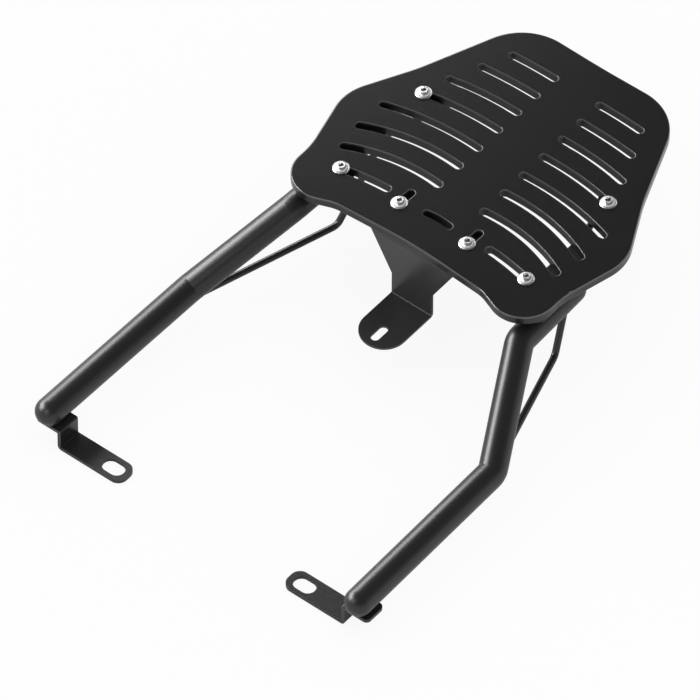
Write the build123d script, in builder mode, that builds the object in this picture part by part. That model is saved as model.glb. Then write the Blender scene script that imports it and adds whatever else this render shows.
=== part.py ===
"""Luggage rack for the tail of a motorcycle: a slotted top plate on two bent side rails.

Millimetres. +Z is up, +Y points to the rear of the vehicle and X = 0 is the plane of
symmetry. The origin lies midway between the slots of the two foot straps that bolt to
the vehicle, on the underside of the straps.
"""
import os
from dataclasses import dataclass
from math import acos, atan2, cos, degrees, hypot, sqrt, tan

from build123d import *

os.makedirs("parts", exist_ok=True)

# How far a flat piece is hollowed where a round one is welded to it
weld_seat = 0.3

# Largest share of an edge of an outline that the roundings of its two corners take up
round_share = 0.98

# Top plate
plate_top = 109.0            # height of the carrying surface above the foot straps
plate_thickness = 8.0
plate_rim_round = 1.2        # rounding of the outer rim
slot_rim_round = 0.7         # rounding round every opening of the upper face
front_edge_y = 235.7         # front edge at the middle, slightly bowed backwards
front_dip_x = 69.0           # where the front edge turns down into a lobe
front_dip_y = 231.5
lobe_side_x = 119.6          # straight flank of the front lobe
lobe_tip_y = 211.7           # corner that the lobe's big rounding cuts off
waist_y = 265.1              # the flank turns outwards here
hip_x = 134.1                # corner of the hip, the widest place
hip_y = 322.0
shoulder_x = 106.6           # the taper becomes steeper here
shoulder_y = 374.9
tail_x = 71.5                # corner that the big rear rounding cuts off
tail_margin = 32.0           # from the last row of slots to that corner
tail_dip = 1.3               # hollow of the rear edge at the middle
front_edge_round = 400.0
front_dip_round = 30.0
lobe_round = 26.6
waist_round = 72.0
hip_round = 42.0
shoulder_round = 150.0
tail_round = 45.2
tail_dip_round = 900.0

# Openings of the plate
slot_width = 6.4             # strap slots
wide_slot = 7.2              # strap slots of the three front rows
slot_inner_x = 18.4          # ends of the strap slots beside the middle web
notch_width = 6.5            # short lengthwise slots of the inner screws
notch_length = 20.0
middle_slot_half = 13.4      # half length of the short bowed slot in the middle
middle_slot_radius = 62.0
middle_slot_y = 266.6

# Screws that hold the plate
screw_diameter = 6.0
screw_length = 20.0
point_bevel = 0.6            # at the end of the thread
screw_clearance = 0.25       # radial play of a screw in its hole
flange_diameter = 12.9
flange_height = 1.1
flange_bevel = 0.45
dome_diameter = 10.6
dome_height = 2.6            # dome above its flange
dome_crown_diameter = 6.0    # flat ring round the socket
dome_swell = 0.43            # bulge of the dome's flank
socket_flats = 4.0
socket_depth = 2.2
nut_flats = 10.0
nut_height = 5.0
nut_face_share = 0.95        # flat ring of the nut's face, as a share of its flats
thread_play = 0.05           # radial play of the nut on its thread
outer_screw_x = 87.3
inner_screw_x = 32.0

# Side rails of round tube
tube_diameter = 22.0
tube_wall = 2.0
bend_radius = 12.0           # centre line of both bends, hardly more than the tube's own radius
rail_low_z = 30.5            # axis of the low, front leg
rail_front_x = 146.2
rail_front_y = -6.0          # the domed front end starts here
rail_low_bend_x = 143.5
rail_low_bend_y = 152.1
rail_high_bend_x = 106.1
rail_high_bend_y = 230.0
rail_rear_x = 103.9
rail_rear_y = 293.9          # the domed rear end starts here

# Flat supports between the rails and the plate
support_thickness = 4.0
support_inner_x = 87.5
support_width = 29.4
support_front_y = 245.6
support_rear_y = 333.0
support_ear_radius = 9.6     # round the front outer screw
support_corner = 6.0
saddle_width = 12.0          # bar that stands on the rail and carries the support
saddle_gap = 5.15            # between the crown of the tube and the support
saddle_hold = 2.0            # how far the bar reaches down the flanks of the tube
saddle_front_y = 243.6
saddle_rear_y = 287.6

# Brace rods
rod_diameter = 5.5
rod_bend_radius = 8.0
rod_low_z = 22.0
rod_front_y = 144.6
rod_low_bend_y = 275.9
rod_rise_run = 39.7          # the rising leg goes back by this much
rod_rear_y = 373.6
rod_plan_x = 187.7           # distance of the rod from the middle where Y is zero
rod_plan_slope = 0.306       # the rod closes in on the middle by this much per length
tab_thickness = 4.0          # lug on the rod for the side screw
tab_radius = 9.6

# Foot brackets, one bent strap below the front end of each rail
foot_width = 20.0
foot_thickness = 3.0
foot_flange_x = 157.2        # outer edge of the flange below the tube
foot_web_x = 135.7           # outer face of the upright web
foot_end_x = 76.4            # inner end of the strap
foot_bend_inside = 0.5       # lower bend of the web
foot_crest_round = 1.5       # upper bend of the web, pressed sharp
foot_slot_x = 90.4
foot_slot_length = 18.8
foot_slot_width = 13.0
foot_end_round = 8.0
foot_flange_round = 4.0

# Centre bracket, one folded sheet below the front edge
sheet = 2.0
fold_inside = 0.5            # fold under the plate
tongue_fold_inside = 1.2     # fold above the tongue
bracket_screw_back = 24.985  # from the upright face back to the inner screws
bracket_flange_depth = 50.0  # from the upright face to the rear edge of the flange
bracket_margin = 6.6         # sheet beside the inner screws
bracket_half_neck = 18.9
bracket_shoulder_drop = 46.0  # from the plate's upper face down to the neck
bracket_tongue_drop = 66.8   # from the plate's upper face down to the tongue's upper face
bracket_tongue_reach = 51.2  # from the upright face to the rounded tip
tip_flat = 0.1               # left straight at the very tip, to each side
bracket_corner = 8.0
bracket_slot_reach = 37.7    # from the upright face to the middle of its slot
bracket_slot_length = 16.5
bracket_slot_width = 7.0

# Derived levels
plate_under = plate_top - plate_thickness
support_under = plate_under - support_thickness
tab_under = plate_under - tab_thickness
bracket_flange_under = plate_under - sheet
tube_radius = tube_diameter / 2
rod_radius = rod_diameter / 2
rod_high_z = support_under - rod_radius + weld_seat
rod_high_bend_y = rod_low_bend_y + rod_rise_run
rail_high_z = support_under - saddle_gap - tube_radius
rail_bottom = rail_low_z - tube_radius
screw_hole = screw_diameter / 2 + screw_clearance
bracket_half_top = inner_screw_x + bracket_margin


@dataclass(frozen=True)
class BowedSlot:
    """One bowed slot of the +X half; its twin is the mirror image."""

    crest_x: float       # where the bow lies furthest back
    crest_y: float
    bow_radius: float
    inner_x: float       # outermost points of the rounded ends
    outer_x: float
    width: float = slot_width

    def centre(self, x):
        """Point of the centre line at x."""
        run = x - self.crest_x
        return (x, self.crest_y - self.bow_radius + sqrt(self.bow_radius ** 2 - run ** 2))

    def line_ends(self):
        """Start, middle and end of the centre line."""
        first = self.inner_x + self.width / 2
        last = self.outer_x - self.width / 2
        return self.centre(first), self.centre((first + last) / 2), self.centre(last)


past_front_screw = outer_screw_x + wide_slot / 2    # ends of the slots that hold screws
past_side_screw = outer_screw_x + slot_width / 2
bowed_slots = (
    BowedSlot(36.8, 266.6, bow_radius=215.0, inner_x=45.3, outer_x=past_front_screw, width=wide_slot),
    BowedSlot(36.8, 294.2, bow_radius=142.0, inner_x=slot_inner_x, outer_x=103.3, width=wide_slot),
    BowedSlot(36.8, 317.9, bow_radius=156.0, inner_x=slot_inner_x, outer_x=107.3, width=wide_slot),
    BowedSlot(36.8, 340.4, bow_radius=221.0, inner_x=slot_inner_x, outer_x=106.8),
    BowedSlot(33.1, 363.8, bow_radius=240.0, inner_x=slot_inner_x, outer_x=past_side_screw),
    BowedSlot(30.1, 386.2, bow_radius=254.0, inner_x=slot_inner_x, outer_x=84.3),
    BowedSlot(27.9, 408.1, bow_radius=382.0, inner_x=slot_inner_x, outer_x=73.7),
    BowedSlot(29.4, 430.3, bow_radius=397.0, inner_x=slot_inner_x, outer_x=63.2),
)
front_slot, side_slot, last_slot = bowed_slots[0], bowed_slots[4], bowed_slots[-1]
front_row_y = front_slot.centre(outer_screw_x)[1]    # row of the four front screws
side_screw_y = side_slot.centre(outer_screw_x)[1]
tail_y = last_slot.crest_y + tail_margin
bracket_face_y = front_row_y - bracket_screw_back    # front of the upright face
bracket_rear_y = bracket_face_y + bracket_flange_depth


def fitting_radii(corners):
    """Corner radii, reduced where two roundings would meet on their common edge.

    Args:
        corners: (x, y, radius) of a closed outline in order.

    Returns:
        The radius to use at each corner.
    """
    count = len(corners)
    reach = []
    for i, (x, y, radius) in enumerate(corners):
        before, after = corners[i - 1], corners[(i + 1) % count]
        u = (before[0] - x, before[1] - y)
        v = (after[0] - x, after[1] - y)
        between = acos((u[0] * v[0] + u[1] * v[1]) / (hypot(*u) * hypot(*v)))
        reach.append(radius / tan(between / 2))
    share = []
    for i in range(count):
        here = corners[i]
        part = 1.0
        for j in (i - 1, (i + 1) % count):
            other = corners[j]
            edge = hypot(other[0] - here[0], other[1] - here[1])
            both = reach[i] + reach[j]
            if both > round_share * edge:
                part = min(part, round_share * edge / both)
        share.append(part)
    return [corner[2] * part for corner, part in zip(corners, share)]


def round_corners(sketch, corners):
    """Round the corners of the open sketch; every corner is (x, y, radius) in the sketch's own plane."""
    for corner, radius in zip(corners, fitting_radii(corners)):
        if radius > 0:
            fillet(sketch.vertices().sort_by_distance((corner[0], corner[1], 0))[0], radius)


def bent_edges(points, radius):
    """Straight lines through the points, joined by arcs of the radius; call inside a BuildLine."""
    start = Vector(*points[0])
    for before, here, after in zip(points, points[1:], points[2:]):
        corner = Vector(*here)
        back = (Vector(*before) - corner).normalized()
        ahead = (Vector(*after) - corner).normalized()
        half = acos(max(-1.0, min(1.0, back.dot(ahead)))) / 2
        reach = radius / tan(half)
        first = corner + back * reach
        last = corner + ahead * reach
        inward = (back + ahead).normalized()
        crown = corner + inward * (radius / sqrt(1 - cos(half) ** 2) - radius)
        Line(start, first)
        ThreePointArc(first, crown, last)
        start = last
    Line(start, Vector(*points[-1]))


def rod_x(y):
    """Distance of the brace rod from the middle at this Y."""
    return rod_plan_x - rod_plan_slope * y


# Top plate with its strap slots
half_outline = (
    (front_dip_x, front_dip_y, front_dip_round),
    (lobe_side_x, lobe_tip_y, lobe_round),
    (lobe_side_x, waist_y, waist_round),
    (hip_x, hip_y, hip_round),
    (shoulder_x, shoulder_y, shoulder_round),
    (tail_x, tail_y, tail_round),
)
outline = (
    [(0.0, front_edge_y, front_edge_round)]
    + list(half_outline)
    + [(0.0, tail_y - tail_dip, tail_dip_round)]
    + [(-x, y, radius) for x, y, radius in reversed(half_outline)]
)

with BuildPart() as top_plate:
    with BuildSketch(Plane.XY.offset(plate_under)) as plate_face:
        with BuildLine():
            Polyline([(x, y) for x, y, radius in outline], close=True)
        make_face()
        round_corners(plate_face, outline)
        for side in (1, -1):
            for slot in bowed_slots:
                first, middle, last = ((side * x, y) for x, y in slot.line_ends())
                with BuildLine(mode=Mode.PRIVATE) as bow:
                    ThreePointArc(first, middle, last)
                SlotArc(bow.edge(), slot.width, mode=Mode.SUBTRACT)
            with Locations((side * inner_screw_x, front_row_y + notch_length / 2 - notch_width / 2)):
                SlotOverall(notch_length, notch_width, rotation=90, mode=Mode.SUBTRACT)
        reach = middle_slot_half - slot_width / 2
        sag = middle_slot_radius - sqrt(middle_slot_radius ** 2 - reach ** 2)
        with BuildLine(mode=Mode.PRIVATE) as bow:
            ThreePointArc((-reach, middle_slot_y - sag), (0, middle_slot_y), (reach, middle_slot_y - sag))
        SlotArc(bow.edge(), slot_width, mode=Mode.SUBTRACT)
    extrude(amount=plate_thickness)
    upper = top_plate.faces().sort_by(Axis.Z)[-1]
    lower = top_plate.faces().sort_by(Axis.Z)[0]
    rim = upper.outer_wire().edges() + lower.outer_wire().edges()
    fillet(rim, plate_rim_round)
    upper = top_plate.faces().sort_by(Axis.Z)[-1]
    fillet([edge for wire in upper.inner_wires() for edge in wire.edges()], slot_rim_round)
top_plate.part.label = "top_plate"

# Right-hand rail: low front leg, rising middle leg, short leg below the plate
rail_points = (
    (rail_front_x, rail_front_y, rail_low_z),
    (rail_low_bend_x, rail_low_bend_y, rail_low_z),
    (rail_high_bend_x, rail_high_bend_y, rail_high_z),
    (rail_rear_x, rail_rear_y, rail_high_z),
)

with BuildPart() as right_rail:
    with BuildLine() as rail_line:
        bent_edges(rail_points, bend_radius)
    with BuildSketch(Plane(origin=rail_line.line @ 0, z_dir=rail_line.line % 0)):
        Circle(tube_radius)
        Circle(tube_radius - tube_wall, mode=Mode.SUBTRACT)
    sweep()
right_rail.part.label = "right_rail"

# The same rail as a full body, only for fitting the pieces that are welded to it
with BuildPart() as rail_body:
    with BuildSketch(Plane(origin=rail_line.line @ 0, z_dir=rail_line.line % 0)):
        Circle(tube_radius)
    sweep(path=rail_line.line)

front_end = Plane(origin=rail_line.line @ 0, z_dir=-(rail_line.line % 0))
rear_end = Plane(origin=rail_line.line @ 1, z_dir=rail_line.line % 1)
dome_base = (Align.CENTER, Align.CENTER, Align.MIN)

with BuildPart() as right_front_cap:
    with Locations(front_end):
        Sphere(tube_radius, arc_size1=0, align=dome_base)
        Sphere(tube_radius - tube_wall, arc_size1=0, align=dome_base, mode=Mode.SUBTRACT)
right_front_cap.part.label = "right_front_cap"

with BuildPart() as right_rear_cap:
    with Locations(rear_end):
        Sphere(tube_radius, arc_size1=0, align=dome_base)
        Sphere(tube_radius - tube_wall, arc_size1=0, align=dome_base, mode=Mode.SUBTRACT)
right_rear_cap.part.label = "right_rear_cap"

# Brace rod from the low bend of the rail up to the support and on to the side screw
rod_points = (
    (rod_x(rod_front_y), rod_front_y, rod_low_z),
    (rod_x(rod_low_bend_y), rod_low_bend_y, rod_low_z),
    (rod_x(rod_high_bend_y), rod_high_bend_y, rod_high_z),
    (rod_x(rod_rear_y), rod_rear_y, rod_high_z),
)

with BuildPart() as right_brace:
    with BuildLine() as rod_line:
        bent_edges(rod_points, rod_bend_radius)
    with BuildSketch(Plane(origin=rod_line.line @ 0, z_dir=rod_line.line % 0)):
        Circle(rod_radius)
    sweep()
    add(rail_body.part, mode=Mode.SUBTRACT)
right_brace.part.label = "right_brace"

# Flat support under the plate, with an ear round the outer front screw
support_mid_x = support_inner_x + support_width / 2
support_length = support_rear_y - support_front_y

with BuildPart() as right_support:
    with BuildSketch(Plane.XY.offset(support_under)) as support_face:
        with Locations((support_mid_x, support_front_y + (support_length - support_width / 2) / 2)):
            Rectangle(support_width, support_length - support_width / 2)
        for x in (support_inner_x, support_inner_x + support_width):
            fillet(support_face.vertices().sort_by_distance((x, support_front_y, 0))[0], support_corner)
        with Locations((support_mid_x, support_rear_y - support_width / 2)):
            Circle(support_width / 2)
        with Locations((outer_screw_x, front_row_y)):
            Circle(support_ear_radius)
            Circle(screw_hole, mode=Mode.SUBTRACT)
    extrude(amount=support_thickness)
    add(right_brace.part, mode=Mode.SUBTRACT)
right_support.part.label = "right_support"

# Bar between rail and support, hollowed to sit on the round tube
saddle_length = saddle_rear_y - saddle_front_y
saddle_foot = rail_high_z + sqrt(tube_radius ** 2 - (saddle_width / 2) ** 2) - saddle_hold
saddle_place = Plane(
    origin=(rail_high_bend_x, rail_high_bend_y, saddle_foot),
    x_dir=(rail_rear_x - rail_high_bend_x, rail_rear_y - rail_high_bend_y, 0),
    z_dir=(0, 0, 1),
)

with BuildPart() as right_saddle:
    with BuildSketch(saddle_place):
        with Locations((saddle_front_y - rail_high_bend_y + saddle_length / 2, 0)):
            RectangleRounded(saddle_length, saddle_width, saddle_width / 3)
    extrude(amount=support_under - saddle_foot)
    add(rail_body.part, mode=Mode.SUBTRACT)
right_saddle.part.label = "right_saddle"

# Lug that lies on the rod and takes the side screw; its local x axis runs square to the rod
rod_turn = degrees(atan2(rod_plan_slope, 1.0))
rod_away = (outer_screw_x - rod_x(side_screw_y)) * cos(atan2(rod_plan_slope, 1.0))
tab_level = Plane(origin=(outer_screw_x, side_screw_y, tab_under), z_dir=(0, 0, 1))
tab_place = tab_level.rotated((0, 0, 180 + rod_turn))
tab_reach = rod_away + rod_radius

with BuildPart() as right_tab:
    with BuildSketch(tab_place):
        Circle(tab_radius)
        with Locations((tab_reach / 2, 0)):
            Rectangle(tab_reach, 2 * tab_radius)
        with Locations((tab_reach + tab_radius, 0)):
            Rectangle(2 * tab_radius, 3 * tab_radius, mode=Mode.SUBTRACT)
        Circle(screw_hole, mode=Mode.SUBTRACT)
    extrude(amount=tab_thickness)
    add(right_brace.part, mode=Mode.SUBTRACT)
right_tab.part.label = "right_tab"

# Foot bracket: flange below the tube, upright web, strap towards the middle
flange_top = rail_bottom + weld_seat
web_inside_x = foot_web_x - foot_thickness
foot_profile = (
    (foot_flange_x, flange_top, 0.0),
    (web_inside_x, flange_top, foot_crest_round),
    (web_inside_x, foot_thickness, foot_bend_inside),
    (foot_end_x, foot_thickness, 0.0),
    (foot_end_x, 0.0, 0.0),
    (foot_web_x, 0.0, foot_bend_inside + foot_thickness),
    (foot_web_x, flange_top - foot_thickness, 0.0),
    (foot_flange_x, flange_top - foot_thickness, 0.0),
)

with BuildPart() as right_foot:
    with BuildSketch(Plane.XZ) as foot_side:
        with BuildLine():
            Polyline([(x, z) for x, z, radius in foot_profile], close=True)
        make_face()
        round_corners(foot_side, foot_profile)
    extrude(amount=foot_width / 2, both=True)
    upright = right_foot.edges().filter_by(Axis.Z)
    fillet(upright.group_by(Axis.X)[0], foot_end_round)
    upright = right_foot.edges().filter_by(Axis.Z)
    fillet(upright.group_by(Axis.X)[-1], foot_flange_round)
    with BuildSketch(Plane.XY):
        with Locations((foot_slot_x, 0)):
            SlotOverall(foot_slot_length, foot_slot_width)
    extrude(amount=foot_thickness, mode=Mode.SUBTRACT)
    add(rail_body.part, mode=Mode.SUBTRACT)
    with Locations(front_end):
        Sphere(tube_radius, arc_size1=0, align=dome_base, mode=Mode.SUBTRACT)
right_foot.part.label = "right_foot"

# Centre bracket: flange under the plate, tapered upright face, rounded tongue to the front
face_back_y = bracket_face_y + sheet
neck_z = plate_top - bracket_shoulder_drop
tongue_top = plate_top - bracket_tongue_drop
tongue_end_y = bracket_face_y - bracket_tongue_reach
bracket_profile = (
    (bracket_rear_y, plate_under, 0.0),
    (bracket_face_y, plate_under, fold_inside + sheet),
    (bracket_face_y, tongue_top, tongue_fold_inside),
    (tongue_end_y, tongue_top, 0.0),
    (tongue_end_y, tongue_top - sheet, 0.0),
    (face_back_y, tongue_top - sheet, tongue_fold_inside + sheet),
    (face_back_y, bracket_flange_under, fold_inside),
    (bracket_rear_y, bracket_flange_under, 0.0),
)

with BuildPart() as centre_bracket:
    with BuildSketch(Plane.YZ) as bracket_side:
        with BuildLine():
            Polyline([(y, z) for y, z, radius in bracket_profile], close=True)
        make_face()
        round_corners(bracket_side, bracket_profile)
    extrude(amount=bracket_half_top, both=True)
    with BuildSketch(Plane.XZ.offset(-face_back_y - sheet)):
        with BuildLine():
            Polyline(
                (bracket_half_top + sheet, bracket_flange_under - fold_inside),
                (bracket_half_top, bracket_flange_under - fold_inside),
                (bracket_half_neck, neck_z),
                (bracket_half_neck, tongue_top - 2 * sheet),
                (bracket_half_top + sheet, tongue_top - 2 * sheet),
                close=True,
            )
        make_face()
        mirror(about=Plane.YZ)
    extrude(amount=bracket_tongue_reach + 3 * sheet, both=True, mode=Mode.SUBTRACT)
    corners = centre_bracket.edges().filter_by(Axis.Z)
    fillet(corners.group_by(Axis.Y)[-1], bracket_corner)
    corners = centre_bracket.edges().filter_by(Axis.Z)
    fillet(corners.group_by(Axis.Y)[0], bracket_half_neck - tip_flat)
    with BuildSketch(Plane.XY.offset(tongue_top - sheet)):
        with Locations((0, bracket_face_y - bracket_slot_reach)):
            SlotOverall(bracket_slot_length, bracket_slot_width, rotation=90)
    extrude(amount=sheet, mode=Mode.SUBTRACT)
    with BuildSketch(Plane.XY.offset(bracket_flange_under)):
        with Locations((inner_screw_x, front_row_y), (-inner_screw_x, front_row_y)):
            Circle(screw_hole)
    extrude(amount=sheet, mode=Mode.SUBTRACT)
centre_bracket.part.label = "centre_bracket"

# Flanged button-head screws with hexagon socket, and their nuts
screw_places = (
    (outer_screw_x, front_row_y, support_under),
    (-outer_screw_x, front_row_y, support_under),
    (inner_screw_x, front_row_y, bracket_flange_under),
    (-inner_screw_x, front_row_y, bracket_flange_under),
    (outer_screw_x, side_screw_y, tab_under),
    (-outer_screw_x, side_screw_y, tab_under),
)
dome_foot = dome_diameter / 2
dome_crown = dome_crown_diameter / 2
head_top = flange_height + dome_height

with BuildPart() as one_screw:
    with BuildSketch(Plane.XZ):
        with BuildLine():
            Polyline(
                (0, head_top),
                (0, -screw_length),
                (screw_diameter / 2 - point_bevel, -screw_length),
                (screw_diameter / 2, -screw_length + point_bevel),
                (screw_diameter / 2, 0),
                (flange_diameter / 2, 0),
                (flange_diameter / 2, flange_height - flange_bevel),
                (flange_diameter / 2 - flange_bevel, flange_height),
                (dome_foot, flange_height),
            )
            SagittaArc((dome_foot, flange_height), (dome_crown, head_top), -dome_swell)
            Line((dome_crown, head_top), (0, head_top))
        make_face()
    revolve(axis=Axis.Z)
    with BuildSketch(Plane.XY.offset(head_top)):
        RegularPolygon(socket_flats / 2, 6, major_radius=False)
    extrude(amount=-socket_depth, mode=Mode.SUBTRACT)

with BuildPart() as plate_screws:
    with Locations([(x, y, plate_top) for x, y, z in screw_places]):
        add(one_screw.part)
plate_screws.part.label = "plate_screws"

nut_corner = nut_flats / sqrt(3)
nut_face = nut_face_share * nut_flats / 2
nut_slope = (nut_corner - nut_face) / sqrt(3)    # both faces are turned off at 30 degrees

with BuildPart() as one_nut:
    with BuildSketch():
        RegularPolygon(nut_flats / 2, 6, major_radius=False)
        Circle(screw_diameter / 2 + thread_play, mode=Mode.SUBTRACT)
    extrude(amount=-nut_height)
    with BuildSketch(Plane.XZ):
        with BuildLine():
            Polyline(
                (0, 0),
                (nut_face, 0),
                (nut_corner, -nut_slope),
                (nut_corner, nut_slope - nut_height),
                (nut_face, -nut_height),
                (0, -nut_height),
                close=True,
            )
        make_face()
    revolve(axis=Axis.Z, mode=Mode.INTERSECT)

with BuildPart() as plate_nuts:
    with Locations(screw_places):
        add(one_nut.part)
plate_nuts.part.label = "plate_nuts"

# Left-hand pieces are the mirror images of the right-hand ones
with BuildPart() as left_rail:
    mirror(right_rail.part, about=Plane.YZ)
left_rail.part.label = "left_rail"

with BuildPart() as left_front_cap:
    mirror(right_front_cap.part, about=Plane.YZ)
left_front_cap.part.label = "left_front_cap"

with BuildPart() as left_rear_cap:
    mirror(right_rear_cap.part, about=Plane.YZ)
left_rear_cap.part.label = "left_rear_cap"

with BuildPart() as left_support:
    mirror(right_support.part, about=Plane.YZ)
left_support.part.label = "left_support"

with BuildPart() as left_saddle:
    mirror(right_saddle.part, about=Plane.YZ)
left_saddle.part.label = "left_saddle"

with BuildPart() as left_brace:
    mirror(right_brace.part, about=Plane.YZ)
left_brace.part.label = "left_brace"

with BuildPart() as left_tab:
    mirror(right_tab.part, about=Plane.YZ)
left_tab.part.label = "left_tab"

with BuildPart() as left_foot:
    mirror(right_foot.part, about=Plane.YZ)
left_foot.part.label = "left_foot"

export_step(top_plate.part, "parts/top_plate.step")
export_step(right_rail.part, "parts/right_rail.step")
export_step(right_front_cap.part, "parts/right_front_cap.step")
export_step(right_rear_cap.part, "parts/right_rear_cap.step")
export_step(right_support.part, "parts/right_support.step")
export_step(right_saddle.part, "parts/right_saddle.step")
export_step(right_brace.part, "parts/right_brace.step")
export_step(right_tab.part, "parts/right_tab.step")
export_step(right_foot.part, "parts/right_foot.step")
export_step(left_rail.part, "parts/left_rail.step")
export_step(left_front_cap.part, "parts/left_front_cap.step")
export_step(left_rear_cap.part, "parts/left_rear_cap.step")
export_step(left_support.part, "parts/left_support.step")
export_step(left_saddle.part, "parts/left_saddle.step")
export_step(left_brace.part, "parts/left_brace.step")
export_step(left_tab.part, "parts/left_tab.step")
export_step(left_foot.part, "parts/left_foot.step")
export_step(centre_bracket.part, "parts/centre_bracket.step")
export_step(plate_screws.part, "parts/plate_screws.step")
export_step(plate_nuts.part, "parts/plate_nuts.step")
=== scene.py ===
"""Dresses the motorcycle luggage rack: coated plate, rails and brackets, bright screws, welds and threads.

Metres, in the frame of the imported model: +Z up, +Y to the rear of the vehicle, X = 0 the plane of symmetry
and the origin midway between the foot slots, on the underside of the foot straps.
"""

import logging
import math
from abc import ABC, abstractmethod
from collections.abc import Mapping
from dataclasses import dataclass, field, replace
from enum import Enum

import bpy
import numpy as np
from mathutils import Matrix, Vector


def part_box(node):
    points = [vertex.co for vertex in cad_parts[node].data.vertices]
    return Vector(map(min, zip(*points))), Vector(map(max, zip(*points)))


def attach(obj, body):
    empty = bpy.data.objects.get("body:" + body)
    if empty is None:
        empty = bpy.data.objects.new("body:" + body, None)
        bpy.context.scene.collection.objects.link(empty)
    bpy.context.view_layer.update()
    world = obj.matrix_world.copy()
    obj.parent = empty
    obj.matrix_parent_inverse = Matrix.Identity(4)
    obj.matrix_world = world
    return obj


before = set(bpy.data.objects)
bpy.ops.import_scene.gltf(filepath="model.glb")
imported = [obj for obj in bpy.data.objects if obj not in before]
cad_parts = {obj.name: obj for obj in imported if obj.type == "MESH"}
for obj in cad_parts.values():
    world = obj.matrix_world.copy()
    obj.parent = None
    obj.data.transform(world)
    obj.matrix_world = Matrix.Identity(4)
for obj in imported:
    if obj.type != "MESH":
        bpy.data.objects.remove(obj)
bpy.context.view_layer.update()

log = logging.getLogger("luggage_rack")

Array = np.ndarray
Colour = tuple[float, float, float]
Faces = list[tuple[int, ...]]
Material = bpy.types.Material
Piece = bpy.types.Object
Socket = bpy.types.NodeSocket
Tree = bpy.types.NodeTree

NUMBER, COLOUR, VECTOR = "NodeSocketFloat", "NodeSocketColor", "NodeSocketVector"
BODY = "root"
MM = 0.001


class NamedSide(Enum):
    """One of two sides; its word is part of the names of the pieces there."""

    @property
    def word(self) -> str:
        """Return the word."""
        return self.name.lower()


class Side(NamedSide):
    """The two mirrored halves of the rack, with the sign of their X."""

    RIGHT = 1
    LEFT = -1


class Flank(NamedSide):
    """The two sides of a seam, with the sign of their offset from its middle, outwards."""

    INNER = -1.0
    OUTER = 1.0


class RecordSlot(Enum):
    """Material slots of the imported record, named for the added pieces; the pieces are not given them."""

    STEEL = "coated_steel"
    BRIGHT = "bright_steel"


@dataclass
class Graph:
    """Short calls for making the nodes and links of one shader tree."""

    tree: Tree

    MIX_COLOURS = (6, 7)                # places of the two colours among the inputs of a Mix node
    MIXED_COLOUR = 2                    # place of the colour among its outputs

    def node(self, kind: str, **values: object) -> bpy.types.Node:
        """Add a node.

        Args:
            kind: Blender's type name of the node.
            values: properties of the node to set.

        Returns:
            The new node.
        """
        made = self.tree.nodes.new(kind)
        for key, value in values.items():
            setattr(made, key, value)
        return made

    def put(self, target: Socket, value: object) -> None:
        """Fill an input.

        Args:
            target: the input.
            value: an output to link to it, or its own value.
        """
        if isinstance(value, Socket):
            self.tree.links.new(value, target)
        else:
            target.default_value = value

    def feed(self, made: bpy.types.Node, *values: object) -> Socket:
        """Fill the first inputs of a node.

        Args:
            made: the node.
            values: one for each input, in order.

        Returns:
            The node's first output.
        """
        for target, value in zip(made.inputs, values):
            self.put(target, value)
        return made.outputs[0]

    def maths(self, operation: str, *values: object, clamp: bool = False) -> Socket:
        """Return the result of a new Math node."""
        return self.feed(self.node("ShaderNodeMath", operation=operation, use_clamp=clamp), *values)

    def ramp(
        self, value: object, low: float, high: float, start: object = 0.0, end: object = 1.0
    ) -> Socket:
        """Return the value mapped from low..high to start..end and clamped there."""
        return self.feed(self.node("ShaderNodeMapRange", clamp=True), value, low, high, start, end)

    def either(self, factor: object, first: Socket, second: Socket) -> Socket:
        """Return the mix of two shaders."""
        return self.feed(self.node("ShaderNodeMixShader"), factor, first, second)

    def weighed(self, first: Socket, second: Socket, weight: float) -> Socket:
        """Return the sum of the second value times its weight and the first times the rest."""
        rest = self.maths("MULTIPLY", first, 1.0 - weight)
        return self.maths("ADD", rest, self.maths("MULTIPLY", second, weight))

    def blend(self, factor: object, first: object, second: object) -> Socket:
        """Mix two colours.

        Args:
            factor: share of the second colour.
            first: a colour.
            second: another one.

        Returns:
            The mixed colour.
        """
        made = self.node("ShaderNodeMix", data_type="RGBA")
        self.put(made.inputs["Factor"], factor)
        for number, colour in zip(self.MIX_COLOURS, (first, second)):
            self.put(made.inputs[number], colour)
        return made.outputs[self.MIXED_COLOUR]

    def noise(self, place: Socket, scale: object, detail: float) -> Socket:
        """Add a noise texture.

        Args:
            place: the coordinates that it reads.
            scale: number of its features in a metre.
            detail: number of finer layers.

        Returns:
            Its value.
        """
        made = self.node("ShaderNodeTexNoise")
        for word, value in {"Vector": place, "Scale": scale, "Detail": detail}.items():
            self.put(made.inputs[word], value)
        return made.outputs[0]

    def height(self, vector: Socket) -> Socket:
        """Take a vector apart.

        Args:
            vector: the vector.

        Returns:
            Its Z part.
        """
        made = self.node("ShaderNodeSeparateXYZ")
        self.feed(made, vector)
        return made.outputs["Z"]

    def normal(self) -> Socket:
        """Return the surface normal."""
        return self.node("ShaderNodeNewGeometry").outputs["Normal"]

    def effect(self, group: Tree, **values: object) -> Mapping[str, Socket]:
        """Place a node group.

        Args:
            group: the shared effect.
            values: the values of its inputs, by name.

        Returns:
            Its outputs, by name.
        """
        made = self.node("ShaderNodeGroup", node_tree=group)
        for word, value in values.items():
            self.put(made.inputs[word], value)
        return made.outputs


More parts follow.
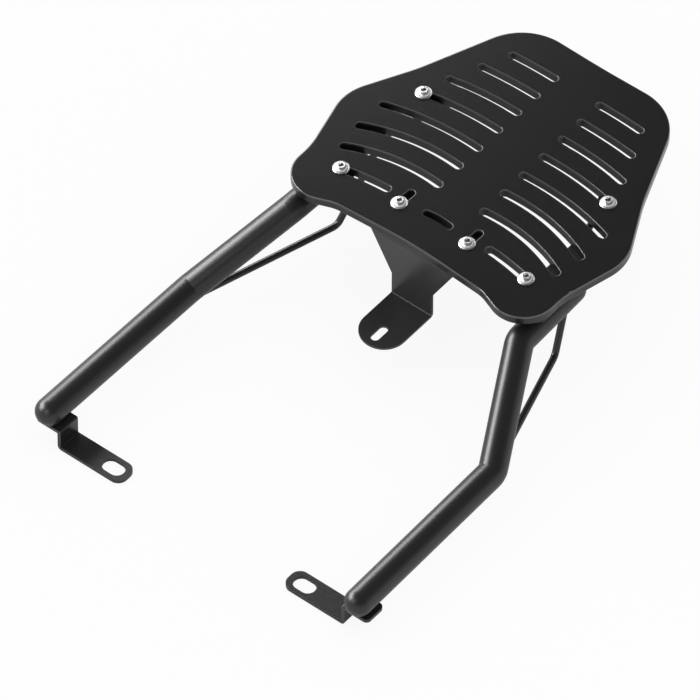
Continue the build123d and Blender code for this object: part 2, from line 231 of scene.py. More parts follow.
class SurfaceEffects:
    """Node groups that several finishes share; each is built once."""

    GRAIN_DETAIL = 1.5
    GRAIN_IN_SHADE = 0.4                # weight of the grains in the mottle of colour, against the clouds
    WAVE_SCALE = 0.22                   # scale of the film's waves, against that of its grains
    WAVE_DETAIL = 1.0
    WAVE_IN_RELIEF = 0.55               # weight of the waves in the relief, against the grains
    CLOUDS_PER_METRE = 26.0
    CLOUD_DETAIL = 4.0
    ROUGHNESS_SPREAD = 0.05
    MEAN_NOISE = 0.5
    BEVEL_SAMPLES = 6
    EDGE_LIKENESS = (0.985, 0.80)       # of both normals, from no edge to a full one
    PATCHES_PER_METRE = 140.0
    PATCH_DETAIL = 3.0
    UPWARD = (0.35, 1.0)                # Z of the normal, from no dust to the full film
    SPECKS_PER_METRE = 60.0
    SPECK_DETAIL = 6.0
    SPECK_RANGE = (0.35, 0.75)
    THINNEST_FILM = 0.2
    SHELTER_SAMPLES = 8
    SHELTER = (0.75, 0.25)              # open share of the surroundings, from no recess to a deep one

    def __init__(self) -> None:
        """Build the groups."""
        self.grain = self._coat_grain()
        self.rub = self._edge_rub()
        self.film = self._dust_film()
        self.recess = self._recess()

    @staticmethod
    def _group(
        name: str, inputs: dict[str, str], outputs: dict[str, str]
    ) -> tuple[Tree, Graph, dict[str, Socket], dict[str, Socket]]:
        """Make an empty group with named sockets.

        Args:
            name: name of the group.
            inputs: socket name to socket type.
            outputs: socket name to socket type.

        Returns:
            The group, its graph, its input sockets by name and its output sockets by name.
        """
        tree = bpy.data.node_groups.new(name, "ShaderNodeTree")
        for word, kind in inputs.items():
            tree.interface.new_socket(name=word, in_out="INPUT", socket_type=kind)
        for word, kind in outputs.items():
            tree.interface.new_socket(name=word, in_out="OUTPUT", socket_type=kind)
        graph = Graph(tree)
        given = graph.node("NodeGroupInput").outputs
        wanted = graph.node("NodeGroupOutput").inputs
        sources = {word: given[word] for word in inputs}
        targets = {word: wanted[word] for word in outputs}
        return tree, graph, sources, targets

    def _coat_grain(self) -> Tree:
        """Baked powder coat: fine grains, the broader waves of the film and a faint mottle of colour.

        Returns:
            The group.
        """
        tree, graph, given, wanted = self._group(
            "coat_grain",
            {"Place": VECTOR, "Colour": COLOUR, "Grains": NUMBER, "Mottle": NUMBER, "Roughness": NUMBER},
            {"Colour": COLOUR, "Roughness": NUMBER, "Height": NUMBER},
        )
        place = given["Place"]
        grains = graph.noise(place, given["Grains"], self.GRAIN_DETAIL)
        waves_per_metre = graph.maths("MULTIPLY", given["Grains"], self.WAVE_SCALE)
        waves = graph.noise(place, waves_per_metre, self.WAVE_DETAIL)
        clouds = graph.noise(place, self.CLOUDS_PER_METRE, self.CLOUD_DETAIL)
        shade = graph.weighed(clouds, grains, self.GRAIN_IN_SHADE)
        swing = graph.maths("MULTIPLY", graph.maths("SUBTRACT", shade, self.MEAN_NOISE), given["Mottle"])
        tint = graph.node("ShaderNodeVectorMath", operation="SCALE")
        graph.put(tint.inputs["Scale"], graph.maths("ADD", swing, 1.0))
        graph.put(wanted["Colour"], graph.feed(tint, given["Colour"]))
        uneven = graph.maths("SUBTRACT", grains, self.MEAN_NOISE)
        spread = graph.maths("MULTIPLY", uneven, self.ROUGHNESS_SPREAD)
        graph.put(wanted["Roughness"], graph.maths("ADD", given["Roughness"], spread, clamp=True))
        graph.put(wanted["Height"], graph.weighed(grains, waves, self.WAVE_IN_RELIEF))
        return tree

    def _edge_rub(self) -> Tree:
        """Mask that is 1 on edges, for worn edges and, on the plate, a painted highlight: the surface normal
        against that of a rounded copy of the surface.

        Returns:
            The group.
        """
        tree, graph, given, wanted = self._group(
            "edge_rub", {"Place": VECTOR, "Width": NUMBER, "Patchiness": NUMBER}, {"Mask": NUMBER}
        )
        rounded = graph.node("ShaderNodeBevel", samples=self.BEVEL_SAMPLES)
        likeness = graph.node("ShaderNodeVectorMath", operation="DOT_PRODUCT")
        graph.feed(likeness, graph.feed(rounded, given["Width"]), graph.normal())
        edge = graph.ramp(likeness.outputs["Value"], *self.EDGE_LIKENESS)
        patches = graph.noise(given["Place"], self.PATCHES_PER_METRE, self.PATCH_DETAIL)
        spared = graph.maths("MULTIPLY", given["Patchiness"], patches)
        kept = graph.maths("SUBTRACT", 1.0, spared, clamp=True)
        graph.put(wanted["Mask"], graph.maths("MULTIPLY", edge, kept, clamp=True))
        return tree

    def _dust_film(self) -> Tree:
        """Mask of a thin film of dust: strongest where the surface looks up, broken up by noise.

        Returns:
            The group.
        """
        tree, graph, given, wanted = self._group(
            "dust_film", {"Place": VECTOR, "Amount": NUMBER}, {"Mask": NUMBER}
        )
        upward = graph.ramp(graph.height(graph.normal()), *self.UPWARD)
        specks = graph.noise(given["Place"], self.SPECKS_PER_METRE, self.SPECK_DETAIL)
        broken = graph.ramp(specks, *self.SPECK_RANGE, start=self.THINNEST_FILM)
        film = graph.maths("MULTIPLY", upward, broken)
        graph.put(wanted["Mask"], graph.maths("MULTIPLY", film, given["Amount"], clamp=True))
        return tree

    def _recess(self) -> Tree:
        """Mask that is strongest deep in a recess of the same piece, such as a slot or a hexagon socket.

        Returns:
            The group.
        """
        tree, graph, given, wanted = self._group(
            "recess", {"Reach": NUMBER, "Amount": NUMBER}, {"Mask": NUMBER}
        )
        shelter = graph.node("ShaderNodeAmbientOcclusion", samples=self.SHELTER_SAMPLES, only_local=True)
        graph.put(shelter.inputs["Distance"], given["Reach"])
        deep = graph.ramp(shelter.outputs["AO"], *self.SHELTER)
        graph.put(wanted["Mask"], graph.maths("MULTIPLY", deep, given["Amount"], clamp=True))
        return tree


def opaque(colour: Colour) -> tuple[float, float, float, float]:
    """Return the colour with full alpha, as sockets take it."""
    return (*colour, 1.0)


def new_material(name: str) -> tuple[Material, Graph, bpy.types.Node, Socket]:
    """Make a material with a Principled shader.

    Args:
        name: name of the material.

    Returns:
        The material, its graph, its shader and the Object coordinates.
    """
    made = bpy.data.materials.new(name)
    made.use_nodes = True
    graph = Graph(made.node_tree)
    place = graph.node("ShaderNodeTexCoord").outputs["Object"]
    return made, graph, made.node_tree.nodes["Principled BSDF"], place


@dataclass(frozen=True)
class CoatFinish:
    """Black powder coat over metal with lighter, worn edges; a coat with a rim top also gets a painted rim
    highlight below that height.
    """

    name: str
    colour: Colour
    roughness: float
    specular: float
    grains_per_metre: float
    peel_depth: float
    mottle: float
    # The rub colour lightens worn edges; on the plate it is also a painted highlight on the edges and rims.
    rub_width: float
    rub_strength: float
    rub_colour: Colour = (0.055, 0.055, 0.057)
    rub_patchiness: float = 0.55
    rub_polish: float = 0.12            # taken off the roughness where the coat is rubbed or has its painted rim highlight
    dust: float = 0.02
    dust_colour: Colour = (0.16, 0.158, 0.152)
    dust_roughness: float = 0.5         # added to the roughness under a full film of dust
    recess_reach: float = 10.0 * MM
    recess_roughness: float = 0.0       # added to the roughness deep in a recess
    rim_top: float | None = None
    rim_round: float = 0.4 * MM         # below the top, where the painted rim highlight is full
    rim_depth: float = 2.4 * MM         # below the top, where the painted highlight has faded
    rim_tilt: tuple[float, float] = (0.97, 0.80)    # Z of the normal, from no painted highlight to the full one

    def rim(self, graph: Graph, place: Socket) -> Socket:
        """Mask of the painted highlight on the rounded upper rims: close below the top and not level.

        Args:
            graph: the material's graph.
            place: the Object coordinates.

        Returns:
            The mask.
        """
        full, faded = self.rim_top - self.rim_round, self.rim_top - self.rim_depth
        close = graph.ramp(graph.height(place), faded, full)
        tilted = graph.ramp(graph.height(graph.normal()), *self.rim_tilt)
        return graph.maths("MULTIPLY", close, tilted)

    def material(self, effects: SurfaceEffects) -> Material:
        """Make the material.

        Args:
            effects: the shared node groups.

        Returns:
            The new material.
        """
        made, graph, shader, place = new_material(self.name)
        grain = graph.effect(
            effects.grain,
            Place=place,
            Colour=opaque(self.colour),
            Grains=self.grains_per_metre,
            Mottle=self.mottle,
            Roughness=self.roughness,
        )
        rub = graph.effect(effects.rub, Place=place, Width=self.rub_width, Patchiness=self.rub_patchiness)
        film = graph.effect(effects.film, Place=place, Amount=self.dust)["Mask"]
        # Lighter colour on worn edges and, on the plate, a painted highlight on its edges and rims.
        worn_and_highlit_edges = rub["Mask"]
        # Painted highlight on the plate's rims and the walls just below them.
        if self.rim_top is not None:
            worn_and_highlit_edges = graph.maths("MAXIMUM", worn_and_highlit_edges, self.rim(graph, place))
        rubbed_and_highlit = graph.maths("MULTIPLY", worn_and_highlit_edges, self.rub_strength)
        worn = graph.blend(rubbed_and_highlit, grain["Colour"], opaque(self.rub_colour))
        graph.put(shader.inputs["Base Color"], graph.blend(film, worn, opaque(self.dust_colour)))
        polish = graph.maths("MULTIPLY", rubbed_and_highlit, self.rub_polish)
        polished = graph.maths("SUBTRACT", grain["Roughness"], polish)
        rough = graph.maths("ADD", polished, graph.maths("MULTIPLY", film, self.dust_roughness))
        if self.recess_roughness > 0.0:
            recess = graph.effect(effects.recess, Reach=self.recess_reach, Amount=self.recess_roughness)
            rough = graph.maths("ADD", rough, recess["Mask"], clamp=True)
        graph.put(shader.inputs["Roughness"], rough)
        shader.inputs["Specular IOR Level"].default_value = self.specular
        bump = graph.node("ShaderNodeBump")
        bump.inputs["Distance"].default_value = self.peel_depth
        graph.put(bump.inputs["Height"], grain["Height"])
        graph.put(shader.inputs["Normal"], bump.outputs["Normal"])
        return made


@dataclass(frozen=True)
class BrightFinish:
    """Bright plated steel of the screws and nuts, with stains, a film of dust and painted shade in the
    sockets.
    """

    name: str
    colour: Colour
    roughness: float
    tarnish: float
    stains_per_metre: float = 420.0
    stain_detail: float = 4.0
    stain_range: tuple[float, float] = (0.45, 0.8)
    stain_shade: float = 0.55           # share of the colour that a full stain leaves
    roughness_spread: float = 0.12
    dust: float = 0.04
    dust_colour: Colour = (0.3, 0.29, 0.27)
    # Painted shade in the sockets and other recesses: its amount, reach and colour.
    socket_shade: float = 0.9
    socket_shade_reach: float = 2.5 * MM
    socket_shade_colour: Colour = (0.03, 0.03, 0.03)

    def material(self, effects: SurfaceEffects) -> Material:
        """Make the material.

        Args:
            effects: the shared node groups.

        Returns:
            The new material.
        """
        made, graph, shader, place = new_material(self.name)
        clouds = graph.noise(place, self.stains_per_metre, self.stain_detail)
        stain = graph.ramp(clouds, *self.stain_range, end=self.tarnish)
        dull = tuple(self.stain_shade * part for part in self.colour)
        film = graph.effect(effects.film, Place=place, Amount=self.dust)["Mask"]
        socket_shade = graph.effect(effects.recess, Reach=self.socket_shade_reach, Amount=self.socket_shade)["Mask"]
        tone = graph.blend(stain, opaque(self.colour), opaque(dull))
        # Painted shade, darkest deep in the hexagon sockets and other recesses of the piece.
        tone = graph.blend(socket_shade, tone, opaque(self.socket_shade_colour))
        graph.put(shader.inputs["Base Color"], graph.blend(film, tone, opaque(self.dust_colour)))
        spread = graph.maths("MULTIPLY", clouds, self.roughness_spread)
        smoothest = self.roughness - 0.5 * self.roughness_spread
        graph.put(shader.inputs["Roughness"], graph.maths("ADD", spread, smoothest))
        shader.inputs["Metallic"].default_value = 1.0
        return made


PLATE_COAT = CoatFinish(
    name="matte_plate_coat",
    colour=(0.0062, 0.0062, 0.0064),
    roughness=0.19,
    specular=0.5,
    grains_per_metre=1500.0,
    peel_depth=0.004 * MM,
    mottle=0.25,
    # Light rub colour on the plate's edges and rims: a painted highlight, with some wear.
    rub_width=1.1 * MM,
    rub_strength=0.75,
    rub_colour=(0.13, 0.13, 0.132),
    dust=0.008,
    recess_roughness=0.55,
)
RAIL_COAT = CoatFinish(
    name="satin_rail_coat",
    colour=(0.012, 0.012, 0.0123),
    roughness=0.34,
    specular=0.5,
    grains_per_metre=900.0,
    peel_depth=0.0015 * MM,
    mottle=0.25,
    rub_width=0.8 * MM,
    rub_strength=0.2,
    dust=0.01,
)
SHEET_COAT = CoatFinish(
    name="satin_sheet_coat",
    colour=(0.012, 0.012, 0.0122),
    roughness=0.30,
    specular=0.5,
    grains_per_metre=1100.0,
    peel_depth=0.01 * MM,
    mottle=0.3,
    rub_width=1.0 * MM,
    rub_strength=0.4,
)
# The sheet coat, lighter and glossier on the bracket: painted light on its face and tongue, as the paint is
# the same.
BRACKET_COAT_PAINTED_LIGHTER = replace(
    SHEET_COAT, name="satin_bracket_coat", colour=(0.022, 0.022, 0.0223), specular=0.6
)
WELD_COAT = CoatFinish(
    name="coated_weld",
    colour=(0.018, 0.018, 0.0183),
    roughness=0.38,
    specular=0.5,
    grains_per_metre=1300.0,
    peel_depth=0.05 * MM,
    mottle=0.4,
    rub_width=0.4 * MM,
    rub_strength=0.3,
)
SCREW_STEEL = BrightFinish(
    name="bright_screw_steel", colour=(0.93, 0.93, 0.935), roughness=0.30, tarnish=0.10
)
NUT_STEEL = BrightFinish(name="plated_nut_steel", colour=(0.62, 0.62, 0.61), roughness=0.34, tarnish=0.35)


def underside(node: str) -> float:
    """Return the height of a node's lowest point."""
    return float(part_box(node)[0][2])


def upper_side(node: str) -> float:
    """Return the height of a node's highest point."""
    return float(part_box(node)[1][2])


def half_chord(radius: float, depth: float) -> float:
    """Return half the width of the flat that a cut of this depth leaves on a round bar."""
    return math.sqrt(radius**2 - (radius - depth) ** 2)


def unit(vector: Array) -> Array:
    """Return the vectors of the last axis, scaled to length one."""
    return vector / np.linalg.norm(vector, axis=-1, keepdims=True)


def wrapped_walls(rings: int, sectors: int) -> Faces:
    """Join rings of vertices that follow each other by quads, each ring closed on itself.

    Args:
        rings: number of rings.
        sectors: number of vertices of a ring.

    Returns:
        The quads.
    """
    i, j = np.meshgrid(np.arange(rings - 1), np.arange(sectors), indexing="ij")
    k = (j + 1) % sectors
    here, there = i * sectors, (i + 1) * sectors
    walls = np.stack([here + j, there + j, there + k, here + k], -1)
    return [tuple(face) for face in walls.reshape(-1, 4).tolist()]


def add_object(name: str, data: bpy.types.ID) -> Piece:
    """Add an object to the scene.

    Args:
        name: name of the object.
        data: the mesh, lamp or camera that it shows.

    Returns:
        The new object.
    """
    made = bpy.data.objects.new(name, data)
    bpy.context.scene.collection.objects.link(made)
    return made


def mesh_piece(name: str, points: Array, faces: Faces, material: Material, slot: RecordSlot) -> Piece:
    """Put a numpy surface into a new smooth-shaded object that rides on the rack.

    Args:
        name: name of the piece.
        points: vertices, one row each.
        faces: vertex numbers of each face, counted round the outside.
        material: finish of the piece.
        slot: the record's slot for the finish; not used.

    Returns:
        The new piece.
    """
    mesh = bpy.data.meshes.new(name)
    mesh.from_pydata(points.tolist(), [], faces)
    mesh.polygons.foreach_set("use_smooth", np.ones(len(mesh.polygons), dtype=bool))
    mesh.materials.append(material)
    mesh.update()
    piece = add_object(name, mesh)
    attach(piece, BODY)
    return piece


def dress(node: str, material: Material) -> Piece:
    """Give a CAD node its finish.

    Args:
        node: name of the node.
        material: the finish, for every slot of its mesh.

    Returns:
        The node's object.
    """
    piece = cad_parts[node]
    worn = piece.data.materials
    if not worn:
        worn.append(material)
    for number in range(len(worn)):
        worn[number] = material
    return piece


@dataclass(frozen=True)
class WeldBead:
    """A run of weld metal along a straight seam."""

    start: Vector
    end: Vector
    radius: float
    ripple_pitch: float = 1.6 * MM
    ripple_depth: float = 0.16
    least_ripples: int = 3
    rings_per_ripple: int = 6
    sectors: int = 14
    bluntness: int = 10

    def surface(self) -> tuple[Array, Faces]:
        """Carry a circle along the seam; its radius swells with every ripple and closes at both ends.

        With s from 0 to 1 along the seam and t round it, a point is the seam at s plus, in the
        direction t, the radius times the square root of (1 - (2 s - 1) to the power of the bluntness)
        times (1 + depth |sin(pi s ripples)|).

        Returns:
            The vertices and the faces.
        """
        first, last = np.array(self.start), np.array(self.end)
        along = last - first
        ripples = max(self.least_ripples, round(float(np.linalg.norm(along)) / self.ripple_pitch))
        count = ripples * self.rings_per_ripple
        s = (np.arange(count) + 0.5) / count
        t = np.linspace(0.0, 2.0 * math.pi, self.sectors, endpoint=False)
        ahead = unit(along)
        aside = unit(np.cross(ahead, (0.0, 0.0, 1.0)))
        above = np.cross(aside, ahead)
        closing = np.sqrt(1.0 - (2.0 * s - 1.0) ** self.bluntness)
        swell = closing * (1.0 + self.ripple_depth * np.abs(np.sin(math.pi * s * ripples)))
        ring = np.cos(t)[:, None] * aside + np.sin(t)[:, None] * above
        grid = first + s[:, None, None] * along + self.radius * swell[:, None, None] * ring
        points = np.vstack([grid.reshape(-1, 3), first, last])
        row = np.arange(self.sectors)
        after = (row + 1) % self.sectors
        tip, tail = len(points) - 2, len(points) - 1
        base = (count - 1) * self.sectors
        front = np.stack([np.full_like(row, tip), row, after], -1)
        back = np.stack([np.full_like(row, tail), base + after, base + row], -1)
        ends = [tuple(face) for face in front.tolist() + back.tolist()]
        return points, wrapped_walls(count, self.sectors) + ends

    def build(self, name: str, material: Material) -> Piece:
        """Return the new piece."""
        return mesh_piece(name, *self.surface(), material, RecordSlot.STEEL)


@dataclass(frozen=True)
class ThreadRidge:
    """The thread of a screw's end, wound round its plain shank."""

    axis: tuple[float, float]
    top: float
    bottom: float
    shank_radius: float = 3.0 * MM
    height: float = 0.22 * MM
    sink: float = 0.1 * MM
    pitch: float = 1.0 * MM
    half_width: float = 0.45 * MM
    run_out: float = 0.25               # in turns
    least_share: float = 0.02           # of the ridge's section, at both ends
    least_steps: int = 8
    steps_per_turn: int = 40

    def surface(self) -> tuple[Array, Faces]:
        """Wind a triangle round the axis; it closes up over the run-out at both ends.

        With s from 0 to 1, the middle climbs from bottom to top, less half a ridge at each end, and
        turns by 2 pi for every pitch. The crest is at the shank's radius plus the height. Both feet
        are sunk into the shank, half a ridge above and below.

        Returns:
            The vertices and the faces.
        """
        low, high = self.bottom + self.half_width, self.top - self.half_width
        turns = (high - low) / self.pitch
        count = max(self.least_steps, round(turns * self.steps_per_turn))
        s = np.linspace(0.0, 1.0, count)
        share = np.clip(turns * np.minimum(s, 1.0 - s) / self.run_out, self.least_share, 1.0)
        foot = np.full(count, self.shank_radius - self.sink)
        crest = foot + (self.height + self.sink) * share
        radius = np.stack([crest, foot, foot], -1)
        middle = low + (high - low) * s
        reach = self.half_width * share
        climb = np.stack([middle, middle + reach, middle - reach], -1)
        angle = (2.0 * math.pi * turns * s)[:, None]
        x = self.axis[0] + radius * np.cos(angle)
        y = self.axis[1] + radius * np.sin(angle)
        points = np.stack([x, y, climb], -1).reshape(-1, 3)
        corners = radius.shape[-1]
        base = corners * (count - 1)
        ends = [(0, 1, 2), (base, base + 2, base + 1)]
        return points, wrapped_walls(count, corners) + ends

    def build(self, name: str, material: Material) -> Piece:
        """Return the new piece."""
        return mesh_piece(name, *self.surface(), material, RecordSlot.BRIGHT)


@dataclass
class Finishes:
    """All materials of the rack."""

    effects: SurfaceEffects = field(default_factory=SurfaceEffects)
    plate: Material = field(init=False)
    rail: Material = field(init=False)
    sheet: Material = field(init=False)
    bracket: Material = field(init=False)
    weld: Material = field(init=False)
    screw: Material = field(init=False)
    nut: Material = field(init=False)

    def __post_init__(self) -> None:
        """Make the materials; the plate's rims get a painted highlight just below its top."""
        self.plate = replace(PLATE_COAT, rim_top=upper_side("top_plate")).material(self.effects)
        self.rail = RAIL_COAT.material(self.effects)
        self.sheet = SHEET_COAT.material(self.effects)
        self.bracket = BRACKET_COAT_PAINTED_LIGHTER.material(self.effects)
        self.weld = WELD_COAT.material(self.effects)
        self.screw = SCREW_STEEL.material(self.effects)
        self.nut = NUT_STEEL.material(self.effects)


@dataclass
class Assembly(ABC):
    """Pieces that are dressed and built together."""

    finishes: Finishes

    @abstractmethod
    def build(self) -> list[Piece]:
        """Dress the CAD nodes, build what is added to them and return it all, in order."""


@dataclass
class SideAssembly(Assembly):
    """Pieces that each half of the rack has; their sizes are written for the right half."""

    side: Side

    def named(self, words: str) -> str:
        """Return the name of a piece of this half."""
        return f"{self.side.word}_{words}"

    def at(self, x: float, y: float, z: float) -> Vector:
        """Return a point of this half."""
        return Vector((self.side.value * x, y, z))

    def weld(self, words: str, start: Vector, end: Vector, radius: float) -> Piece:
        """Return a new bead between two points."""
        return WeldBead(start, end, radius).build(self.named(words), self.finishes.weld)


@dataclass
class TopPlate(Assembly):
    """The slotted plate that carries the luggage."""

    def build(self) -> list[Piece]:
        """Dress the plate."""
        return [dress("top_plate", self.finishes.plate)]


@dataclass
class RailAssembly(SideAssembly):
    """One bent rail with its domed ends, saddle and flat support."""

    tube_radius: float = 11.0 * MM
    axis_height: float = 80.85 * MM                             # of the rail's upper leg
    high_bend: tuple[float, float] = (106.1 * MM, 230.0 * MM)   # where that leg starts, in plan
    rear_end: tuple[float, float] = (103.9 * MM, 293.9 * MM)    # where it ends
    saddle_half_width: float = 6.0 * MM
    saddle_round: float = 4.0 * MM
    bead_radius: float = 1.7 * MM

    def build(self) -> list[Piece]:
        """Dress the nodes and weld the saddle to the rail and to the support.

        Returns:
            The pieces, in order.
        """
        tubes = [dress(self.named(node), self.finishes.rail) for node in ("rail", "front_cap", "rear_cap")]
        flats = [dress(self.named(node), self.finishes.sheet) for node in ("support", "saddle")]
        return tubes + flats + self.saddle_welds()

    def seam(self, offset: float, y: float, z: float) -> Vector:
        """Point beside the upper leg's axis.

        Args:
            offset: distance from the axis plane, outwards.
            y: place along the vehicle.
            z: height.

        Returns:
            The point of this half.
        """
        run = (y - self.high_bend[1]) / (self.rear_end[1] - self.high_bend[1])
        x = self.high_bend[0] + run * (self.rear_end[0] - self.high_bend[0])
        return self.at(x + offset, y, z)

    def saddle_welds(self) -> list[Piece]:
        """Lay beads along both long sides of the saddle, on the tube and under the support.

        Returns:
            The beads.
        """
        low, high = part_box(self.named("saddle"))
        front, rear = float(low[1]) + self.saddle_round, float(high[1]) - self.saddle_round
        on_tube = self.axis_height + math.sqrt(self.tube_radius**2 - self.saddle_half_width**2)
        beads = []
        for level, z in {"tube": on_tube, "support": float(high[2])}.items():
            for flank in Flank:
                offset = flank.value * self.saddle_half_width
                start, end = (self.seam(offset, y, z) for y in (front, rear))
                beads.append(self.weld(f"saddle_weld_{level}_{flank.word}", start, end, self.bead_radius))
        return beads


@dataclass
class BraceAssembly(SideAssembly):
    """One thin brace rod with the lug of the side screw.

    In plan, the axis of the rod's upper run is at x = plan_x - plan_slope y.
    """

    rod_radius: float = 2.75 * MM
    plan_x: float = 187.7 * MM
    plan_slope: float = 0.306
    seat: float = 0.3 * MM
    support_seam: tuple[float, float] = (320.0 * MM, 329.0 * MM)
    lug_seam: tuple[float, float] = (352.5 * MM, 368.5 * MM)
    bead_radius: float = 1.1 * MM

    def build(self) -> list[Piece]:
        """Dress the rod and its lug, and weld the rod to the support and to the lug.

        Returns:
            The pieces, in order.
        """
        rod = dress(self.named("brace"), self.finishes.rail)
        lug = dress(self.named("tab"), self.finishes.sheet)
        pieces = [rod, lug]
        z = underside(self.named("tab"))
        reach = half_chord(self.rod_radius, self.seat)
        for place, ends in {"support": self.support_seam, "lug": self.lug_seam}.items():
            for flank in Flank:
                start, end = (self.beside(y, flank.value * reach, z) for y in ends)
                pieces.append(self.weld(f"brace_weld_{place}_{flank.word}", start, end, self.bead_radius))
        return pieces

    def beside(self, y: float, offset: float, z: float) -> Vector:
        """Point beside the rod's axis.

        Args:
            y: place along the vehicle, on the axis.
            offset: distance from the axis, outwards and square to the rod.
            z: height.

        Returns:
            The point of this half.
        """
        stretch = math.hypot(1.0, self.plan_slope)
        x = self.plan_x - self.plan_slope * y + offset / stretch
        return self.at(x, y + offset * self.plan_slope / stretch, z)


@dataclass
class FootAssembly(SideAssembly):
    """One bent foot strap below the front end of a rail."""

    rail_x: float = 146.1 * MM
    tube_radius: float = 11.0 * MM
    seat: float = 0.3 * MM
    seam: tuple[float, float] = (-4.5 * MM, 9.0 * MM)
    bead_radius: float = 1.5 * MM
    bead_lean: float = 0.4              # of its radius, from the seam away from the tube

    def build(self) -> list[Piece]:
        """Dress the strap and weld it to the tube.

        Returns:
            The pieces, in order.
        """
        pieces = [dress(self.named("foot"), self.finishes.sheet)]
        z = upper_side(self.named("foot"))
        reach = half_chord(self.tube_radius, self.seat) + self.bead_lean * self.bead_radius
        for flank in Flank:
            start, end = (self.at(self.rail_x + flank.value * reach, y, z) for y in self.seam)
            pieces.append(self.weld(f"foot_weld_{flank.word}", start, end, self.bead_radius))
        return pieces


@dataclass
class CentreBracket(Assembly):
    """The folded sheet with the slotted tongue."""

    def build(self) -> list[Piece]:
        """Dress the bracket."""
        return [dress("centre_bracket", self.finishes.bracket)]


@dataclass
class Fasteners(Assembly):
    """Flanged screws and nuts, with the threads that stand out below the nuts."""

    outer_x: float = 87.3 * MM
    inner_x: float = 32.0 * MM
    front_y: float = 260.585 * MM
    side_y: float = 357.6 * MM
    bracket_sheet: float = 2.0 * MM
    nut_height: float = 5.0 * MM
    point_bevel: float = 0.6 * MM

    def build(self) -> list[Piece]:
        """Dress the screws and the nuts, and wind the threads.

        Returns:
            The pieces, in order.
        """
        pieces = [dress("plate_screws", self.finishes.screw), dress("plate_nuts", self.finishes.nut)]
        bottom = underside("plate_screws") + self.point_bevel
        flange = upper_side("centre_bracket") - self.bracket_sheet
        seats = {
            "front_outer": (self.outer_x, self.front_y, underside("right_support")),
            "front_inner": (self.inner_x, self.front_y, flange),
            "side": (self.outer_x, self.side_y, underside("right_tab")),
        }
        for side in Side:
            for word, (x, y, seat) in seats.items():
                ridge = ThreadRidge((side.value * x, y), seat - self.nut_height, bottom)
                pieces.append(ridge.build(f"{side.word}_{word}_thread", self.finishes.screw))
        return pieces


@dataclass(frozen=True)
class SoftBox:
    """A rectangular lamp that looks at the rack.

    It shows in glossy surfaces only: the dome alone lights the colours, at a plain level.
    """

    name: str
    direction: tuple[float, float, float]
    distance: float
    width: float
    height: float
    brightness: float

    def build(self, target: Vector) -> None:
        """Hang the lamp.

        Args:
            target: the point it looks at.
        """
        lamp = bpy.data.lights.new(self.name, "AREA")
        lamp.shape = "RECTANGLE"
        lamp.size, lamp.size_y = self.width, self.height
        lamp.energy = self.brightness * math.pi * self.width * self.height
        away = Vector(self.direction).normalized()
        hung = add_object(self.name, lamp)
        hung.location = target + self.distance * away
        hung.rotation_euler = away.to_track_quat("Z", "Y").to_euler()
        hung.visible_camera = False
        hung.visible_diffuse = False


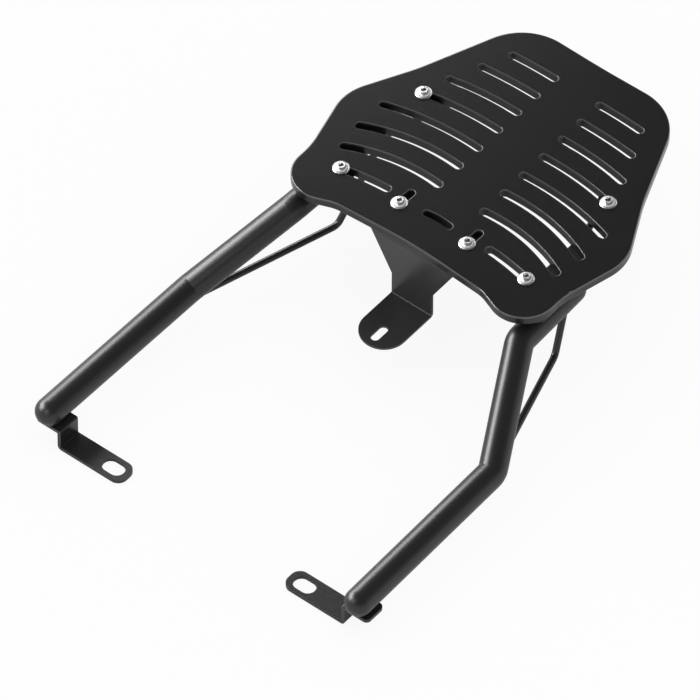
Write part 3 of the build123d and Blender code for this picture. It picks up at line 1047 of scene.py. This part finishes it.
@dataclass
class Studio:
    """Floor, light and camera."""

    aim: tuple[float, float, float] = (-0.0038, 0.1683, 0.0467)
    azimuth: float = math.radians(39.09)
    elevation: float = math.radians(48.34)
    distance: float = 10.516
    lens: float = 735.8
    sensor: float = 36.0
    far_clip: float = 100.0
    floor_half: float = 30.0
    floor_drop: float = 0.4 * MM
    floor_colour: Colour = (0.88, 0.88, 0.88)
    floor_glow: float = 1.0
    floor_shadow: float = 0.10          # share of the matte floor and its shadow that the camera sees
    floor_mirrored_shadow: float = 1.0  # the same for mirrors
    sky_colour: Colour = (1.0, 1.0, 1.0)
    sky_diffuse: float = 1.0
    sky_horizon: float = 1.0
    sky_zenith: float = 0.10
    sky_zenith_from: float = 0.45       # height on the dome, of 1, from which it is as dark as overhead
    lamps: tuple[SoftBox, ...] = (
        SoftBox("left_front_strip", (-1.70, -0.72, 1.06), 2.13, 1.75, 0.95, 16.0),
        SoftBox("left_rear_strip", (-1.70, 0.92, 1.06), 2.21, 1.75, 0.95, 9.0),
        SoftBox("front_box", (-0.05, -0.67, 0.38), 0.77, 0.34, 0.30, 2.5),
    )

    def build(self) -> None:
        """Set the scene."""
        target = Vector(self.aim)
        self.floor()
        self.sky()
        for lamp in self.lamps:
            lamp.build(target)
        self.camera(target)
        bpy.context.scene.view_settings.view_transform = "Standard"

    @staticmethod
    def rays(graph: Graph) -> tuple[Socket, Socket]:
        """Tell the rays apart.

        Args:
            graph: the graph of the floor's material or of the dome.

        Returns:
            A value that is 1 for the camera's rays, and one that is 1 for those of mirrors and of glass.
        """
        path = graph.node("ShaderNodeLightPath").outputs
        mirrored = graph.maths("MAXIMUM", path["Is Glossy Ray"], path["Is Transmission Ray"])
        return path["Is Camera Ray"], mirrored

    def floor(self) -> None:
        """Lay a white floor: the camera sees a faint shadow on it, mirrors see the full one."""
        half, level = self.floor_half, -self.floor_drop
        corners = [(-half, -half, level), (half, -half, level), (half, half, level), (-half, half, level)]
        mesh = bpy.data.meshes.new("floor")
        mesh.from_pydata(corners, [], [(0, 1, 2, 3)])
        add_object("floor", mesh)
        paper = bpy.data.materials.new("white_paper")
        paper.use_nodes = True
        graph = Graph(paper.node_tree)
        matte = graph.feed(graph.node("ShaderNodeBsdfDiffuse"), opaque(self.floor_colour))
        glow = graph.node("ShaderNodeEmission")
        glow.inputs["Strength"].default_value = self.floor_glow
        camera, mirrored = self.rays(graph)
        shadow = graph.ramp(mirrored, 0.0, 1.0, self.floor_shadow, self.floor_mirrored_shadow)
        backdrop = graph.either(shadow, glow.outputs[0], matte)
        seen = graph.maths("MAXIMUM", camera, mirrored)
        out = paper.node_tree.nodes["Material Output"]
        graph.put(out.inputs["Surface"], graph.either(seen, matte, backdrop))
        mesh.materials.append(paper)

    def sky(self) -> None:
        """Surround the rack by a soft dome: even for matte surfaces, darker overhead in mirrors."""
        world = bpy.data.worlds.new("studio_dome")
        world.use_nodes = True
        bpy.context.scene.world = world
        graph = Graph(world.node_tree)
        height = graph.height(graph.node("ShaderNodeTexCoord").outputs["Generated"])
        dome = graph.ramp(height, 0.0, self.sky_zenith_from, self.sky_horizon, self.sky_zenith)
        camera, mirrored = self.rays(graph)
        lit = graph.ramp(mirrored, 0.0, 1.0, self.sky_diffuse, dome)
        strength = graph.maths("MAXIMUM", lit, camera)
        graph.feed(world.node_tree.nodes["Background"], opaque(self.sky_colour), strength)

    def camera(self, target: Vector) -> None:
        """Stand the camera where the picture was taken from.

        Args:
            target: the point in the middle of its view.
        """
        turn, rise = self.azimuth, self.elevation
        right = Vector((math.cos(turn), math.sin(turn), 0.0))
        level = math.cos(rise)
        ahead = Vector((-math.sin(turn) * level, math.cos(turn) * level, -math.sin(rise)))
        above = right.cross(ahead)
        lens = bpy.data.cameras.new("camera")
        lens.sensor_width = self.sensor
        lens.lens = self.lens
        lens.clip_end = self.far_clip
        eye = add_object("camera", lens)
        turned = Matrix((right, above, -ahead)).transposed().to_4x4()
        eye.matrix_world = Matrix.Translation(target - self.distance * ahead) @ turned
        bpy.context.scene.camera = eye


def main() -> None:
    """Build and dress the rack, report its pieces and set the studio round it."""
    logging.basicConfig(level=logging.INFO, format="%(name)s: %(message)s")
    finishes = Finishes()
    assemblies: list[Assembly] = [TopPlate(finishes)]
    for side in Side:
        for kind in (RailAssembly, BraceAssembly, FootAssembly):
            assemblies.append(kind(finishes, side))
    assemblies += [CentreBracket(finishes), Fasteners(finishes)]
    for assembly in assemblies:
        for piece in assembly.build():
            log.info("%s: %s wears %s", type(assembly).__name__, piece.name, piece.data.materials[0].name)
    Studio().build()


if __name__ == "__main__":
    main()
